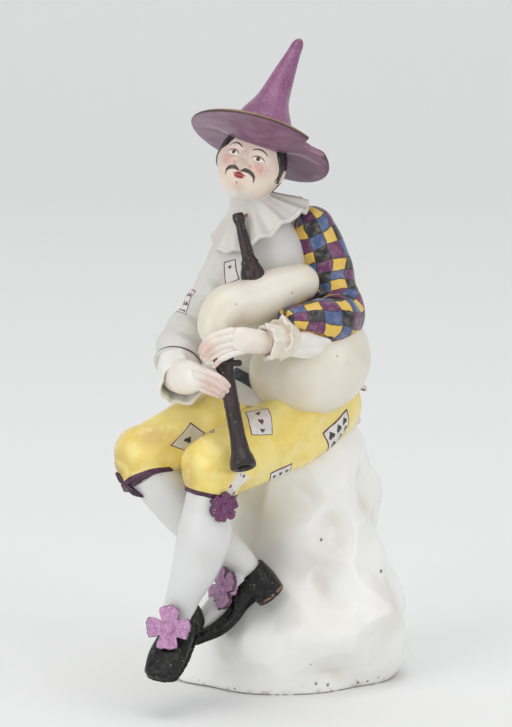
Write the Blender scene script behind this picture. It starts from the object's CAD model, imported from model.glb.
import bpy
import numpy as np
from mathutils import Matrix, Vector


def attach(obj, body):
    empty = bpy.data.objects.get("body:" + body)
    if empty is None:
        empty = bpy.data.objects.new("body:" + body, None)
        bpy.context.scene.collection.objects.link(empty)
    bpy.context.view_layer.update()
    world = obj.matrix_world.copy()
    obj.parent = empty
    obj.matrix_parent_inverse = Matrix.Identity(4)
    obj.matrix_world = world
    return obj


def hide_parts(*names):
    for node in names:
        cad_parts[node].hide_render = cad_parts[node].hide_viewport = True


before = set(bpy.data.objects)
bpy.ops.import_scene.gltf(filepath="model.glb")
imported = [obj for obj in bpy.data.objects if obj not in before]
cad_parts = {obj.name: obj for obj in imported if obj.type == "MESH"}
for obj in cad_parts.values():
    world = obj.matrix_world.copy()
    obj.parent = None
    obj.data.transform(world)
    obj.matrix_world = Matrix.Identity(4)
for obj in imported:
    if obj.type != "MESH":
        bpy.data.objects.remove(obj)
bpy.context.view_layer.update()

# The rock.
# A hump of porcelain paste that carries the figure, pushed in with the thumbs to broad soft dents.
# It is glazed white like the rest, and stands on its bare edge, where iron specks show.

MM = 0.001


def spline(knots, shares, power=0.5):
    """A smooth curve through the knots, read at shares from 0 to 1 of the way through them. Between two
    knots it is a cubic whose end slopes come from both neighbours, weighed by distance to the power."""
    knots = np.asarray(knots, float)
    knots = np.vstack([2 * knots[:1] - knots[1:2], knots, 2 * knots[-1:] - knots[-2:-1]])
    gaps = np.linalg.norm(np.diff(knots, axis=0), axis=1, keepdims=True) ** power
    place = np.clip(shares, 0, 1) * (len(knots) - 3)
    first = np.minimum(place.astype(int), len(knots) - 4)
    t = (place - first)[:, None]
    a, b, c, d = (knots[first + k] for k in range(4))
    before, here, after = (gaps[first + k] for k in range(3))
    leave = ((b - a) / before - (c - a) / (before + here) + (c - b) / here) * here
    arrive = ((c - b) / here - (d - b) / (here + after) + (d - c) / after) * here
    return b + leave * t + (3 * (c - b) - 2 * leave - arrive) * t**2 + (2 * (b - c) + leave + arrive) * t**3


def ring_angles(columns):
    """The angles of a ring's points, evenly round from 0, as one row."""
    return np.arange(columns)[None] / columns * 2 * np.pi


def unit(*way):
    """The direction of a vector, with length 1."""
    return np.array(way, float) / np.linalg.norm(way)


def rise(x):
    """A smooth step: 0 below 0, 1 above 1, and 3x squared less 2x cubed between."""
    x = np.clip(x, 0, 1)
    return x * x * (3 - 2 * x)


def bump(x, y, spread_x, spread_y):
    """A soft round hill: e to the minus (x over its spread) squared plus (y over its spread) squared."""
    return np.exp(-((x / spread_x) ** 2) - (y / spread_y) ** 2)


def corners_of(rows, columns, closed):
    """The row and column of each corner of the triangles that join a grid, two to each cell. A closed
    grid has one more column of cells, which leads back to the first column."""
    i, j = np.meshgrid(np.arange(rows - 1), np.arange(columns if closed else columns - 1), indexing="ij")
    i, j = i.ravel(), j.ravel()
    row = np.concatenate([np.stack([i, i, i + 1], 1), np.stack([i, i + 1, i + 1], 1)])
    column = np.concatenate([np.stack([j, j + 1, j + 1], 1), np.stack([j, j + 1, j], 1)])
    return row, column


def skin(rings, along=None):
    """A closed skin over rings of points in mm, each anticlockwise as seen from the last one. A fan to
    its middle closes each end. It comes as points, triangles and a map: (share round, mm along)."""
    rows, columns = rings.shape[:2]
    along = np.arange(rows) / (rows - 1) if along is None else along
    row, column = corners_of(rows, columns, closed=True)
    triangles = row * columns + column % columns
    chart = np.stack([column / columns, along[row]], -1)
    j = np.arange(columns)
    for at_row, forward, middle in [(0, 0, rows * columns), (rows - 1, 1, rows * columns + 1)]:
        rim = np.stack([j + 1 - forward, j + forward, j], 1)
        fan = at_row * columns + rim % columns
        fan[:, 2] = middle
        triangles = np.vstack([triangles, fan])
        chart = np.concatenate([chart, np.stack([rim / columns, np.full(rim.shape, along[at_row])], -1)])
    middles = rings[[0, -1]].mean(1)
    return np.vstack([rings.reshape(-1, 3), middles]), triangles, chart


def mesh_from(name, skins):
    """One mesh in metres from several skins in mm, with their maps side by side."""
    counts = np.cumsum([0] + [len(points) for points, _, _ in skins])
    points = np.vstack([points for points, _, _ in skins]) * MM
    triangles = np.vstack([start + triangles for start, (_, triangles, _) in zip(counts, skins)])
    chart = np.concatenate([chart for _, _, chart in skins]).reshape(-1, 2)
    mesh = bpy.data.meshes.new(name)
    mesh.vertices.add(len(points))
    mesh.vertices.foreach_set("co", points.ravel())
    mesh.loops.add(triangles.size)
    mesh.loops.foreach_set("vertex_index", triangles.ravel())
    mesh.polygons.add(len(triangles))
    mesh.polygons.foreach_set("loop_start", np.arange(len(triangles)) * 3)
    mesh.uv_layers.new(name="chart").data.foreach_set("uv", chart.ravel())
    mesh.update()
    return mesh


def read_rows(items, name, width, kind=float):
    """One value of every item of a mesh, a row each."""
    values = np.empty(len(items) * width, kind)
    items.foreach_get(name, values)
    return values.reshape(-1, width)


def mark_points(mesh, name, values):
    """Keeps a number at each point of a mesh, under a name that a finish can read."""
    mesh.attributes.new(name, "FLOAT", "POINT").data.foreach_set("value", values.astype(np.float32))


def mark_dents(mesh, passes=28):
    """Gives each point its depth in a dent, in mm: the skin is averaged over its edges many times, and
    the way from the point to the averaged skin is measured along the normal."""
    start = read_rows(mesh.vertices, "co", 3)
    tail, head = read_rows(mesh.edges, "vertices", 2, int).T
    both, other = np.concatenate([tail, head]), np.concatenate([head, tail])
    neighbours = np.bincount(both, minlength=len(start))
    points = start
    for _ in range(passes):
        sums = [np.bincount(both, weights=points[other, k], minlength=len(start)) for k in range(3)]
        points = 0.5 * points + 0.5 * np.stack(sums, 1) / neighbours[:, None]
    normals = read_rows(mesh.vertex_normals, "vector", 3)
    mark_points(mesh, "dent", ((points - start) * normals).sum(1) / MM)


def smooth_shaded(mesh):
    """The mesh with soft shading on all its faces."""
    mesh.polygons.foreach_set("use_smooth", np.ones(len(mesh.polygons), bool))
    return mesh


def placed(name, content):
    """A new object in the scene, at the origin, from a mesh, a light or a lens."""
    piece = bpy.data.objects.new(name, content)
    bpy.context.scene.collection.objects.link(piece)
    return piece


def settle(piece, paint):
    """The piece gets its finish, smooth shading, its body and the CAD solid that it stands for."""
    piece.data.materials.clear()
    piece.data.materials.append(paint.material)
    smooth_shaded(piece.data)
    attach(piece, "root")
    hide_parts("bagpiper_figure")
    return piece


def applied(piece):
    """The piece with its modifiers worked into its mesh."""
    shaped = piece.evaluated_get(bpy.context.evaluated_depsgraph_get())
    mesh = bpy.data.meshes.new_from_object(shaped)
    piece.modifiers.clear()
    piece.data = mesh
    return piece


def sculpt(name, skins, paint, voxel=None, smoothing=6):
    """A piece from closed skins. With a voxel in mm they are fused into one skin, and its creases are
    averaged as slip and glaze fill them."""
    piece = placed(name, mesh_from(name, skins))
    if voxel:
        fuse = piece.modifiers.new("fuse", "REMESH")
        fuse.mode = "VOXEL"
        fuse.voxel_size = voxel * MM
        soften = piece.modifiers.new("soften", "SMOOTH")
        soften.factor = 0.5
        soften.iterations = smoothing
        applied(piece)
    mark_dents(piece.data)
    return settle(piece, paint)


def enamel(red, green, blue):
    """A colour as the eye reads it, 0 to 255, turned into light: the usual screen curve undone."""
    light = ((np.array([red, green, blue]) / 255 + 0.055) / 1.055) ** 2.4
    return (*light, 1.0)


class Field:
    """A socket of a finish's nodes. Sums on it add Math nodes."""

    def __init__(self, paint, socket):
        self.paint, self.socket = paint, socket

    def reckon(self, operation, *values):
        return self.paint.node("ShaderNodeMath", {"operation": operation}, dict(enumerate(values)))

    def __add__(self, other):
        return self.reckon("ADD", self, other)

    def __sub__(self, other):
        return self.reckon("SUBTRACT", self, other)

    def __rsub__(self, other):
        return self.reckon("SUBTRACT", other, self)

    def __mul__(self, other):
        return self.reckon("MULTIPLY", self, other)

    def __truediv__(self, other):
        return self.reckon("DIVIDE", self, other)

    def __pow__(self, other):
        return self.reckon("POWER", self, other)

    def __mod__(self, other):
        return self.reckon("FLOORED_MODULO", self, other)

    def __abs__(self):
        return self.reckon("ABSOLUTE", self)

    def __neg__(self):
        return self * -1

    __radd__ = __add__
    __rmul__ = __mul__

    def floor(self):
        return self.reckon("FLOOR", self)

    def least(self, other):
        return self.reckon("MINIMUM", self, other)

    def most(self, other):
        return self.reckon("MAXIMUM", self, other)

    def rising(self, low, high):
        """0 where this is under low, 1 where it is over high, and a smooth rise between."""
        inputs = {"Value": self, "From Min": low, "From Max": high}
        return self.paint.node("ShaderNodeMapRange", {"interpolation_type": "SMOOTHSTEP"}, inputs)

    def twin(self, output):
        """Another output of the node that this one comes from."""
        return Field(self.paint, self.socket.node.outputs[output])


class Paint:
    """A glazed finish. The nodes that node() adds work out its colour and its relief."""

    def __init__(self, name, gloss=0.36, shine=0.25):
        self.material = bpy.data.materials.new(name)
        self.material.use_nodes = True
        self.tree = self.material.node_tree
        self.shader = self.tree.nodes["Principled BSDF"]
        self.shader.inputs["Roughness"].default_value = gloss
        self.shader.inputs["Coat Weight"].default_value = shine
        self.shader.inputs["Coat Roughness"].default_value = 0.13
        self.place = self.node("ShaderNodeTexCoord", output="Object")

    def node(self, kind, settings=(), inputs=(), output=0):
        """Any node: its type, its settings, and the values or links of its sockets."""
        made = self.tree.nodes.new(kind)
        for name, value in dict(settings).items():
            if name == "stops":
                ramp = made.color_ramp
                ramp.elements.remove(ramp.elements[0])
                for k, (position, colour) in enumerate(value):
                    stop = ramp.elements[0] if k == 0 else ramp.elements.new(position)
                    stop.position, stop.color = position, colour
            elif name == "steps":
                made.color_ramp.interpolation = value
            else:
                setattr(made, name, value)
        for name, value in dict(inputs).items():
            if isinstance(value, Field):
                self.tree.links.new(value.socket, made.inputs[name])
            else:
                made.inputs[name].default_value = value
        return Field(self, made.outputs[output])

    def noise(self, size, detail=2.0, stretch=(1, 1, 1)):
        """Soft noise about 0.5, with lumps of a size in mm, longer or shorter along each axis."""
        place = self.node("ShaderNodeMapping", {}, {0: self.place, "Scale": stretch})
        return self.node("ShaderNodeTexNoise", {}, {
            "Vector": place, "Scale": 1 / (size * MM), "Detail": detail})

    def specks(self, spacing, radius, share):
        """Round spots, one to a cell of a random foam, in a share of the cells only. All sizes in mm."""
        cell = self.node("ShaderNodeTexVoronoi", {}, {"Vector": self.place, "Scale": 1 / (spacing * MM)})
        draw = self.node("ShaderNodeSeparateColor", {}, {0: cell.twin("Color")})
        chosen = draw.rising(1 - share, 1.01 - share)
        return (1 - (cell * (spacing / radius)).rising(0.7, 1.2)) * chosen

    def vector(self, operation, first, second, output=0):
        """Vector Math on two places."""
        return self.node("ShaderNodeVectorMath", {"operation": operation}, {0: first, 1: second}, output)

    def way_from(self, start):
        """The way from a point in mm to each place, in metres."""
        return self.vector("SUBTRACT", self.place, tuple(np.array(start) * MM))

    def near(self, centre, radii):
        """1 at a point in mm, falling smoothly to 0 at an oval round it."""
        scaled = self.vector("DIVIDE", self.way_from(centre), tuple(np.array(radii) * MM))
        return 1 - self.vector("LENGTH", scaled, (0, 0, 0), "Value").rising(0, 1)

    def along(self, start, way):
        """How far a place lies past a point, in mm, the way that is given."""
        return self.vector("DOT_PRODUCT", self.way_from(start), tuple(unit(*way) / MM), "Value")

    def attribute(self, name):
        """The number that mark_points() kept at each point."""
        return self.node("ShaderNodeAttribute", {"attribute_name": name}, {}, "Fac")

    def chart(self):
        """The two numbers of the piece's own map: the share round it, and the mm along it."""
        split = self.node("ShaderNodeSeparateXYZ", {}, {0: self.node("ShaderNodeUVMap", {"uv_map": "chart"})})
        return split, split.twin(1)

    def mix(self, share, under, over):
        """The under colour where the share is 0, and the over colour where it is 1."""
        return self.node("ShaderNodeMix", {"data_type": "RGBA"}, {0: share, 6: under, 7: over}, 2)

    def brush(self, share, enamel_colour):
        """Brushes an enamel over the colour so far, as thickly as the share from 0 to 1."""
        self.colour = self.mix(share, self.colour, enamel_colour)

    def cloud(self, ovals, enamel_colour, grain=1):
        """Brushes an enamel over soft ovals, each a place and radii in mm and how thick it is there. A grain
        breaks it up."""
        for place, radii, share in ovals:
            self.brush(self.near(place, radii) * grain * share, enamel_colour)

    def prick(self, places, radii, edge, share, enamel_colour):
        """Pinholes at places in mm. The edge is how near the middle their dark begins and is full."""
        for place in places:
            self.brush(self.near(place, radii).rising(*edge) * share, enamel_colour)

    def finish(self, height, relief=None):
        """Links the colour and the relief, in mm of height. The relief is the glaze's own unless given."""
        relief = self.waves if relief is None else relief
        lift = self.node("ShaderNodeBump", {}, {"Distance": height * MM, "Height": relief})
        self.tree.links.new(self.colour.socket, self.shader.inputs["Base Color"])
        self.tree.links.new(lift.socket, self.shader.inputs["Normal"])
        return self

    def waved(self, pits):
        """Gives the finish the glaze's own relief: long waves, short ones, and rare pinholes. Returns the
        pinholes."""
        hole = self.specks(4.5, 0.17, pits)
        self.waves = self.noise(7) + 0.12 * self.noise(1.1) - hole
        return hole


def glazed(name, pale, deep, pooled, pits=0.05, cloud=13, pools=(0.02, 0.5)):
    """The figure's glaze over one enamel: clouds of two near tones, a third where glaze pools in dents,
    and rare dark pinholes."""
    paint = Paint(name)
    paint.colour = paint.mix(paint.noise(cloud, 3).rising(0.36, 0.66), pale, deep)
    paint.brush(paint.attribute("dent").rising(*pools), pooled)
    paint.brush(paint.waved(pits) * 0.85, enamel(70, 60, 52))
    return paint


# The hump's levels in mm, each a height and the least and greatest X and Y of its outline.
rock_levels = [
    (0, -25.4, 23, -16.6, 21),
    (1.3, -25.8, 23.6, -17.2, 21.4),
    (6, -22, 24.4, -18.4, 21.6),
    (12, -19.8, 24.8, -19.4, 21.6),
    (16, -18.4, 25, -18.6, 21.2),
    (20, -16.7, 23.4, -16.4, 20.4),
    (27, -15.4, 20.6, -13.5, 19.2),
    (36, -15.2, 19.2, -12, 17.8),
    (44, -14.6, 18.3, -11, 16.5),
    (51, -12.5, 17.1, -10, 15),
    (56, -10.5, 14, -8, 12),
    (59, -6, 9, -4, 8),
]


def rock_skin(rows=190, columns=270, dents=70, dent_size=11.0, dent_depth=1.15, edge_width=5, seed=5):
    """Each ring is a squarish oval between the least and greatest X and Y of its level. It is moved out
    by slow waves and by dents: the square of the way to the nearest dent's middle, on the unrolled side."""
    shares = np.linspace(0, 1, rows)
    height, left, right, front, back = (column[:, None] for column in spline(rock_levels, shares, 0).T)
    height = np.maximum(height, 0)
    angle = ring_angles(columns)
    waves = (0.9 * np.sin(2 * angle + 0.11 * height + 0.6) + 0.8 * np.sin(3 * angle - 0.17 * height + 1.9)
             + 0.7 * np.abs(np.sin(2.5 * angle + 0.09 * height)) * np.sin(0.33 * height + 2 * angle)
             + 0.45 * np.sin(7 * angle + 0.35 * height)
             + 3 * bump((angle % (2 * np.pi)) - 4.06, height - 13, 0.5, 6))
    foot = 3.2 * bump(angle - 3.9, height, 0.42, 7) + 3.3 * bump(angle - 5.5, height, 0.5, 9)
    draw = np.random.default_rng(seed)
    unrolled_radius, dented_height = 21.0, 62
    middles = np.stack([draw.uniform(0, 2 * np.pi, dents) * unrolled_radius,
                        draw.uniform(0, dented_height, dents)])
    around = angle * unrolled_radius + np.zeros_like(height)
    nearest = np.full(around.shape, 1e9)
    for turn in (-2 * np.pi * unrolled_radius, 0, 2 * np.pi * unrolled_radius):
        way = (around[..., None] - middles[0] - turn) ** 2 + (height[..., None] - middles[1]) ** 2
        softest = -np.log(np.exp(-way / edge_width).sum(-1) + 1e-30) * edge_width
        nearest = np.minimum(nearest, softest)
    dent = dent_depth * (nearest / (dent_size / 2) ** 2 - 0.6)
    fading = np.minimum(1, height / 5) * (1 - rise((height - 46) / 8))
    knock = (waves + np.clip(dent, -0.6, 0.9)) * fading - foot

    def between(least, greatest, swing, squareness=0.86):
        """A place from the least to the greatest of its axis, as a power of the cosine or sine."""
        middle, half = (least + greatest) / 2, (greatest - least) / 2
        return middle + np.sign(swing) * np.abs(swing) ** squareness * (half + knock)

    x, y = between(left, right, np.cos(angle)), between(front, back, np.sin(angle))
    return skin(np.stack([x, y, height + np.zeros_like(x)], -1))


rock_paint = glazed(
    "rock glaze", enamel(248, 248, 246), enamel(242, 241, 237), enamel(218, 214, 200), pits=0.09, cloud=16)
height_mm = rock_paint.node("ShaderNodeSeparateXYZ", {}, {0: rock_paint.place}, 2) / MM
foot_line = (1 - height_mm.rising(0.1, 0.4)) * rock_paint.noise(2.2).rising(0.3, 0.45)
rock_paint.brush(foot_line * 0.85, enamel(92, 80, 72))
bare = (1 - height_mm.rising(0.4, 1.5)) * rock_paint.noise(2.6).rising(0.52, 0.62)
rock_paint.brush(bare * 0.6, enamel(196, 174, 154))
iron = rock_paint.specks(1.3, 0.3, 0.3) * (1 - height_mm.rising(1.2, 2.4))
rock_paint.brush(iron * 0.85, enamel(84, 60, 50))
shaded_hollows = [
    ((-6, -14, 38), (12, 11, 15), 0.75), ((7, -15, 30), (8, 9, 9), 0.4), ((21, -10, 19), (7, 9, 12), 0.35)]
rock_pinholes = [
    (19.7, -7.9, 25.6), (6.6, -12.7, 33.6), (5.5, -15.4, 2.3), (8.1, -14, 1.7), (14.7, -9.4, 1.2)]
rock_paint.cloud(shaded_hollows, enamel(196, 188, 172))
rock_paint.prick(rock_pinholes, (0.5, 3, 0.6), (0.1, 0.6), 0.8, enamel(88, 66, 56))
rock_paint.finish(0.25)
sculpt("rock", [rock_skin()], rock_paint)

# The stockinged legs.
# Two white legs, modelled smooth and crossed at the shins, with the left one in front. They are fixed
# to the knees above with slip, and their glaze is a little colder than the bag's.


def square_to(axis, way):
    """The part of a way that is square to an axis, with length 1. Both may be rows of vectors."""
    part = way - (way * axis).sum(-1, keepdims=True) * axis
    return part / np.linalg.norm(part, axis=-1, keepdims=True)


def walked(path):
    """The length walked from a path's first point to each of its points."""
    return np.concatenate([[0], np.cumsum(np.linalg.norm(np.diff(path, axis=0), axis=1))])


def reached(centre, *parts):
    """Points a distance from a centre along each of some ways, each part a distance and its way."""
    for distance, way in parts:
        centre = centre + way * distance[..., None]
    return centre


def limb(route, girth, wide, bulge=(1, 1), folds=None, around=72, rows=90):
    """An oval section carried along a smooth route. At share s and angle a, a point is the route's point
    plus the first radius times cos a along the wide way, plus the second times sin a square to it. Folds
    swell both radii. Each end is a rounded cap that reaches bulge times the smaller radius further."""
    cap = np.linspace(0.04, 0.985, 12) * np.pi / 2
    turn = np.concatenate([-cap[::-1], np.zeros(rows), cap])[:, None]
    share = np.concatenate([np.zeros(12), np.linspace(0, 1, rows), np.ones(12)])
    ahead, behind = spline(route, share + 1e-4), spline(route, share - 1e-4)
    tangent = (ahead - behind) / np.linalg.norm(ahead - behind, axis=1, keepdims=True)
    sideways = square_to(tangent, np.broadcast_to(unit(*wide), tangent.shape))
    across = np.cross(tangent, sideways)
    first, second = (radius[:, None] for radius in spline(girth, share, 0).T)
    reach = np.sin(turn) * np.minimum(first, second) * np.where(turn < 0, bulge[0], bulge[1])
    centre = spline(route, share) + tangent * reach
    angle = ring_angles(around)
    size = np.cos(turn) * (1 + (folds(angle, share[:, None]) if folds else 0))
    rings = reached(centre[:, None], (first * size * np.cos(angle), sideways[:, None]),
                    (second * size * np.sin(angle), across[:, None]))
    return skin(rings, walked(centre))


def round_girth(*radii):
    """A girth with the same radius both ways at each place."""
    return [(radius, radius) for radius in radii]


right_calf = limb(
    [(-30.2, -21, 50.6), (-26, -20.4, 45.4), (-21.2, -19.6, 39.8), (-15, -18, 33.8), (-10.6, -16.9, 29.6),
     (-8.8, -16.5, 27.2)],
    round_girth(5.2, 5.4, 5.2, 4.2, 3.2, 2.8), (0, 1, 0), bulge=(0, 0.1))
right_instep = limb(
    [(-11.2, -17, 26.4), (-14.6, -18, 21.8), (-19.4, -19.6, 16.6)], round_girth(2.9, 2.6, 2), (0, 1, 0),
    bulge=(0.4, 0.5))
left_calf = limb(
    [(-17.4, -30, 51), (-17.9, -30, 45), (-18.4, -29.6, 38.6), (-20.2, -28.6, 31.6), (-22.8, -27.4, 25),
     (-24.2, -26.8, 20.6)],
    [(4.2, 4.4), (4.8, 5.1), (5.8, 6), (5.1, 5.3), (3.8, 4), (3.4, 3.5)], (1, 0, 0), bulge=(0, 0.4))
stocking_paint = glazed(
    "stocking glaze", enamel(226, 226, 226), enamel(218, 218, 216), enamel(190, 188, 182), pits=0.12)
stocking_paint.finish(0.2)
sculpt("right_stocking", [right_calf, right_instep], stocking_paint, voxel=0.4)
sculpt("left_stocking", [left_calf], stocking_paint, voxel=0.4)

# The shoes.
# Black enamelled shoes with low square heels and blunt toes, modelled on the ends of the legs. The
# black was brushed on in thin coats, so it is streaky, and its edges have worn to a coppery brown.


def softened(profile, width=0.05, count=150):
    """A profile walked in even steps, its corners averaged over a share of its length."""
    profile = np.array(profile, float)
    along = walked(profile)
    steps = np.linspace(0, along[-1], count)
    path = np.stack([np.interp(steps, along, column) for column in profile.T], 1)
    reach = max(1, int(width * count / 2))
    padded = np.pad(path, ((reach, reach), (0, 0)), "edge")
    window = np.ones(2 * reach + 1) / (2 * reach + 1)
    smooth = np.stack([np.convolve(column, window, "valid") for column in padded.T], 1)
    smooth[0], smooth[-1] = path[0], path[-1]
    return smooth


def turned(start, axis, profile, ridges=None, width=0.05, around=64, count=150):
    """A form turned round an axis from a profile of (mm along, radius) points. Ridges swell or cut the
    radius, as a function of the angle and of the share along."""
    axis = unit(*axis)
    sideways = square_to(axis, unit(1, 0.1, 0))
    across = np.cross(axis, sideways)
    ends = [(profile[0][0], 0.02), *profile, (profile[-1][0], 0.02)]
    along, radius = softened(ends, width, count).T
    angle = ring_angles(around)
    share = np.linspace(0, 1, count)[:, None]
    reach = radius[:, None] * (1 + (ridges(angle, share) if ridges else 0))
    rings = reached(np.array(start), (along[:, None], axis), (reach * np.cos(angle), sideways),
                    (reach * np.sin(angle), across))
    return skin(rings, walked(np.stack([along, radius], 1)))


shoe_width = 8.6


def shoe_skins(ankle, heel, toe_way, reach, wide, counter, vamp, welt_drop=0.85, welt_height=0.45):
    """The back of the shoe goes on from the ankle to the flat heel. The front is given by rows of (share
    of the reach from heel to toe, rise, half width as a share of the shoe's, half height). The thin welt
    runs under it, lower by a share of the half height."""
    ankle, heel, toe_way = np.array(ankle, float), np.array(heel, float), unit(*toe_way)
    upward = square_to(toe_way, ankle - heel)
    back_part = limb([ankle, (ankle + heel) / 2, heel], counter, toe_way, bulge=(0, 0))
    half = shoe_width / 2

    def row(drop, low=None):
        """The route and the girth of a form along the shoe, dropped by a share of its half height."""
        route = [heel + toe_way * share * reach + upward * (lift - drop * high)
                 for share, lift, _, high in vamp]
        return route, [(half * broad, high if low is None else low) for _, _, broad, high in vamp]

    front = limb(*row(0), wide, bulge=(0.6, 1.1))
    welt = limb(*row(welt_drop, welt_height), wide, bulge=(0.6, 3.4))
    return [back_part, front, welt]


shoe_paint = Paint("shoe black", shine=0.06)
shoe_paint.shader.inputs["Specular IOR Level"].default_value = 0.35
streak = shoe_paint.noise(1.3, 4, stretch=(1, 1, 0.4)).rising(0.44, 0.66)
shoe_paint.colour = shoe_paint.mix(streak, enamel(5, 6, 5), enamel(28, 30, 28))
thin = shoe_paint.noise(3.2, 4).rising(0.6, 0.76)
shoe_paint.brush(thin * 0.25, enamel(84, 66, 56))
fleck = shoe_paint.noise(0.42, 2).rising(0.6, 0.7) * shoe_paint.noise(2.5, 2).rising(0.45, 0.6)
shoe_paint.brush(fleck * 0.5, enamel(176, 176, 168))
under_heel = shoe_paint.along((-4.1, -16, 22), (0.63, 0, -0.78))
by_heel = shoe_paint.near((-4.1, -18.6, 22), (4.8, 4, 4.8)).rising(0, 0.25)
heel_edge = under_heel.rising(-0.9, -0.6) * (1 - under_heel.rising(-0.35, -0.1)) * by_heel
worn = heel_edge * shoe_paint.noise(0.9).rising(0.4, 0.52)
shoe_paint.brush(worn * 0.8, enamel(168, 118, 96))
shoe_paint.finish(0.16, streak + 0.6 * shoe_paint.noise(0.8))
sculpt("right_shoe", shoe_skins(
    (-8.9, -16.7, 27.9), (-4.1, -16, 22), (-16.65, -4.3, -8.5), 19.2, (0.16, -0.96, 0.15),
    [(3.4, 3.4), (3.7, 3.8), (3.3, 3.4)],
    [(0.12, 4.4, 0.84, 3.4), (0.324, 3.3, 0.86, 3), (0.5, 0.7, 0.9, 1.7), (0.706, -0.2, 1, 1.6),
     (0.983, 0.2, 0.88, 1.4)]), shoe_paint, voxel=0.25, smoothing=3)
sculpt("left_shoe", shoe_skins(
    (-23.6, -26.4, 21.6), (-21.6, -22.6, 17.4), (-6, -13.8, -7.3), 16.7, (0.93, -0.36, -0.05),
    [(3.3, 3.7), (3.4, 3.9), (3.1, 3.5)],
    [(0.133, 2, 0.74, 3.1), (0.437, 1.7, 0.9, 2.5), (0.74, 1, 1, 2.05), (1, 0, 0.88, 1.55)]),
    shoe_paint, voxel=0.25, smoothing=3)

# The breeches.
# Full yellow breeches, gathered into a band under each knee. The enamel is thin and brushed in clouds,
# and playing cards are painted on it. A dark purple line runs round each hem.


def thigh_folds(phase):
    """Soft folds that wind round the thigh, and finer ones across its middle."""

    def folds(angle, share):
        """Both sets of folds at an angle and a share along."""
        winding = 0.055 * np.sin(6 * angle + phase * share) * rise(share * 2.2) * (1.3 - 0.7 * share)
        fine = 0.022 * np.sin(46 * share + 2 * angle) * rise(share * 5 - 1) * rise(4 - 5 * share)
        return winding + fine

    return folds


def cuff(knee, hem, knee_radius, hem_radius, first=0.0, swell=0.0):
    """The part below a knee, with small gathers that open towards the hem. It may start part of the way
    along and swell in mm, which makes a band round the hem."""
    knee, hem = np.array(knee, float), np.array(hem, float)
    shares = [first + (1 - first) * share for share in (0, 0.5, 1)]
    route = [knee + (hem - knee) * share for share in shares]
    radii = [knee_radius + (hem_radius - knee_radius) * share + swell for share in shares]

    def gathers(angle, share):
        """Nine small folds, deeper towards the hem."""
        return 0.022 * (first + (1 - first) * share) * np.cos(9 * angle + 0.8 * np.sin(2 * angle))

    return limb(route, round_girth(*radii), (1, 0, 0.2), bulge=(0, 0.1), folds=gathers)


thigh_wide = (0.35, -0.2, 1)
right_thigh = limb(
    [(0, 2, 60.5), (-7, -2.4, 60.4), (-16, -9.4, 58.9), (-25, -17, 56), (-31.4, -20.4, 53.9)],
    [(9.5, 8.5), (8.8, 8.2), (7.6, 7.4), (6.9, 6.8), (6.6, 6.4)],
    thigh_wide, bulge=(0, 1), folds=thigh_folds(14))
left_thigh = limb(
    [(7, 3, 61.2), (5, -3, 59.6), (-1, -12, 57.4), (-9, -21.5, 55.2), (-16.5, -28.7, 52.9)],
    [(9.8, 9), (9.4, 8.8), (8.4, 8.4), (7.7, 7.5), (7.1, 6.9)],
    thigh_wide, bulge=(0, 1), folds=thigh_folds(12))
right_knee = [(-31.7, -18.8, 53.4), (-30.1, -21.6, 48.3), 6.4, 6.1]
left_knee = [(-16.1, -29.3, 53.3), (-17.2, -29.6, 47.3), 6.8, 5.4]
breeches_paint = glazed(
    "yellow enamel", enamel(246, 227, 140), enamel(240, 213, 110), enamel(206, 183, 104), pits=0.1, cloud=7)
brushed = breeches_paint.noise(3.4, 3).rising(0.52, 0.72)
breeches_paint.brush(brushed * 0.5, enamel(248, 232, 168))
ochre_places = [
    ((-37, -21, 52), (9, 10, 8), 1.0), ((-28.5, -24, 58.5), (8, 7, 5), 0.75),
    ((-22, -33, 50), (5, 5, 9), 0.75), ((8, -8, 52), (9, 8, 6), 0.6), ((-12, -26, 60), (7, 5, 4), 0.5)]
breeches_paint.cloud(ochre_places, enamel(196, 160, 74), breeches_paint.noise(3, 3).rising(0.2, 0.56))
scorched = breeches_paint.specks(6, 0.7, 0.14) * breeches_paint.noise(0.9).rising(0.4, 0.6)
breeches_paint.brush(scorched * 0.4, enamel(190, 128, 60))
breeches_paint.finish(0.22, breeches_paint.waves + 0.3 * brushed)
breeches = sculpt("breeches", [right_thigh, left_thigh, cuff(*right_knee), cuff(*left_knee)],
                  breeches_paint, voxel=0.36, smoothing=5)


def on_skin(name, grid, target, paint, lift=0.04, thickness=0.08):
    """A painted patch: an open grid of points in mm, drawn to the nearest part of the piece under it, a
    little above it, and given the enamel's thickness."""
    rows, columns = grid.shape[:2]
    row, column = corners_of(rows, columns, closed=False)
    chart = np.stack([column / (columns - 1), row / (rows - 1)], -1)
    piece = placed(name, mesh_from(name, [(grid.reshape(-1, 3), row * columns + column, chart)]))
    cling = piece.modifiers.new("cling", "SHRINKWRAP")
    cling.target = target
    cling.wrap_mode = "ABOVE_SURFACE"
    cling.offset = lift * MM
    body = piece.modifiers.new("body", "SOLIDIFY")
    body.thickness = thickness * MM
    body.offset = -1
    return settle(applied(piece), paint)


def patch(name, corners, target, paint, sag=0.0, columns=26, rows=34):
    """A grid spread between four corners, from the lower left one anticlockwise as seen from outside. A
    sag moves its middle rows down by that share of its height. Its middle is raised a little first, so that
    it is pressed down evenly."""
    lower_left, lower_right, upper_right, upper_left = np.array(corners, float)
    across, up = np.meshgrid(np.linspace(0, 1, columns), np.linspace(0, 1, rows))
    across, up = across[..., None], up[..., None]
    up = up - sag * np.sin(np.pi * up)
    low = lower_left + (lower_right - lower_left) * across
    high = upper_left + (upper_right - upper_left) * across
    outwards = unit(*np.cross(lower_right - lower_left, upper_left - lower_left))
    raised = 0.8 * np.sin(np.pi * up) * outwards
    return on_skin(name, low + (high - low) * up + raised, target, paint)


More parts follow.
